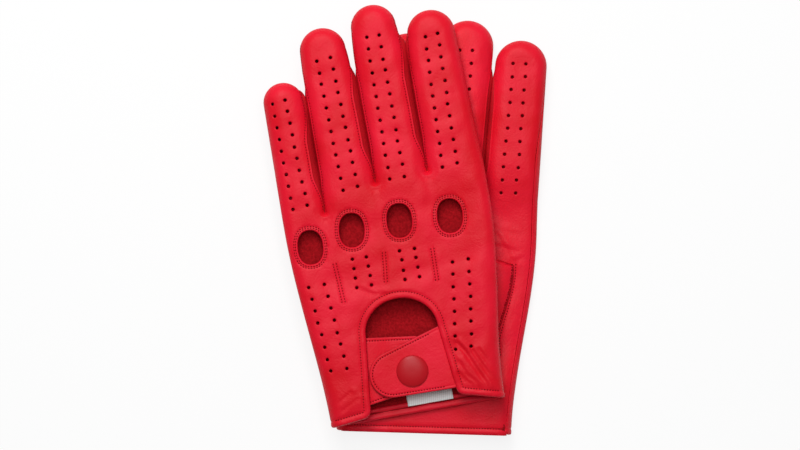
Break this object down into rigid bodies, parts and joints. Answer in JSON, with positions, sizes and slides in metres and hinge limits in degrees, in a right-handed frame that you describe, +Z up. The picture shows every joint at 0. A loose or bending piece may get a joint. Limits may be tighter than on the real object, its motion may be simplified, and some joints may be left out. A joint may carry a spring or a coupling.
{
  "type": "driving gloves",
  "caption": "Pair of perforated leather driving gloves with knuckle holes and snap wrist straps, lying flat with the left glove on the right.",
  "frame": {"origin": "centre of the pair's footprint, on the surface it lies on", "axes": "+Z up from the surface, +Y along the gloves from the cuffs to the fingertips, +X towards the right glove's index side"},
  "size_m": [0.1422, 0.216, 0.0273],
  "materials": {
    "glove_leather": "smooth semi-gloss lambskin",
    "fourchette_leather": "smooth semi-gloss lambskin",
    "painted_cap": "satin paint",
    "snap_metal": "nickel plate",
    "label_cloth": "woven satin, bare"
  },
  "bodies": {
    "right_glove": {"right_back": "glove_leather", "right_palm": "glove_leather", "right_thumb": "glove_leather", "right_fourchette_little_ring": "fourchette_leather", "right_fourchette_ring_middle": "fourchette_leather", "right_fourchette_middle_index": "fourchette_leather", "right_knuckle_facings": "glove_leather", "right_opening_facing": "glove_leather", "right_strap_root": "glove_leather", "right_tab": "glove_leather", "right_snap_stud": "snap_metal", "right_snap_post": "snap_metal"},
    "right_strap": {"right_strap": "glove_leather", "right_snap_cap": "painted_cap", "right_snap_socket": "snap_metal"},
    "left_glove": {"left_back": "glove_leather", "left_palm": "glove_leather", "left_thumb": "glove_leather", "left_fourchette_little_ring": "fourchette_leather", "left_fourchette_ring_middle": "fourchette_leather", "left_fourchette_middle_index": "fourchette_leather", "left_knuckle_facings": "glove_leather", "left_opening_facing": "glove_leather", "left_strap_root": "glove_leather", "left_tab": "glove_leather", "left_snap_stud": "snap_metal", "left_snap_post": "snap_metal", "left_label": "label_cloth"},
    "left_strap": {"left_strap": "glove_leather", "left_snap_cap": "painted_cap", "left_snap_socket": "snap_metal"}
  },
  "joints": [
    {"name": "left_glove_lift", "type": "slide", "parent": "right_glove", "child": "left_glove", "axis": [0, 0, 1], "range_m": [0, 0.15]},
    {"name": "left_strap_hinge", "type": "hinge", "parent": "left_glove", "child": "left_strap", "pos_m": [0.0196, -0.06804, 0.0255], "axis": [-0.2849, 0.9586, 0], "range_deg": [0, 110]},
    {"name": "right_strap_hinge", "type": "hinge", "parent": "right_glove", "child": "right_strap", "pos_m": [0.02779, -0.08208, 0.0018], "axis": [0.0829, -0.9966, 0], "range_deg": [0, 110]}
  ]
}
